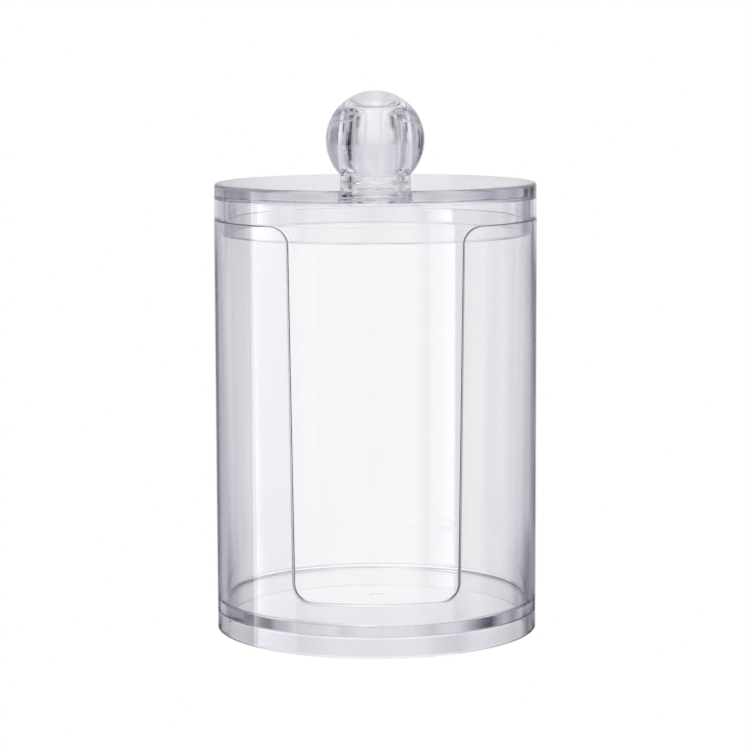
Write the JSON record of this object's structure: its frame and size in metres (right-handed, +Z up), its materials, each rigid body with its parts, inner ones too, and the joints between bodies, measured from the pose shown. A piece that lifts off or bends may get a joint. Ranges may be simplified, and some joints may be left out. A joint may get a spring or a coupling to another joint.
{
  "type": "cotton pad canister",
  "caption": "Clear round plastic canister with a front dispensing slot, a recessed foot and a plug-in lid with a ball knob.",
  "frame": {"origin": "centre of the circle that the foot ring stands on", "axes": "+Z up along the canister's axis through the knob, -Y towards the front slot, +X to the right seen from the front"},
  "size_m": [0.075, 0.075, 0.1256],
  "materials": {
    "clear_plastic": "polished, water-clear"
  },
  "bodies": {
    "cup": {"cup": "clear_plastic"},
    "lid": {"lid": "clear_plastic"}
  },
  "joints": [
    {"name": "lid_lift", "type": "slide", "parent": "cup", "child": "lid", "axis": [0, 0, 1], "range_m": [0, 0.06]}
  ]
}
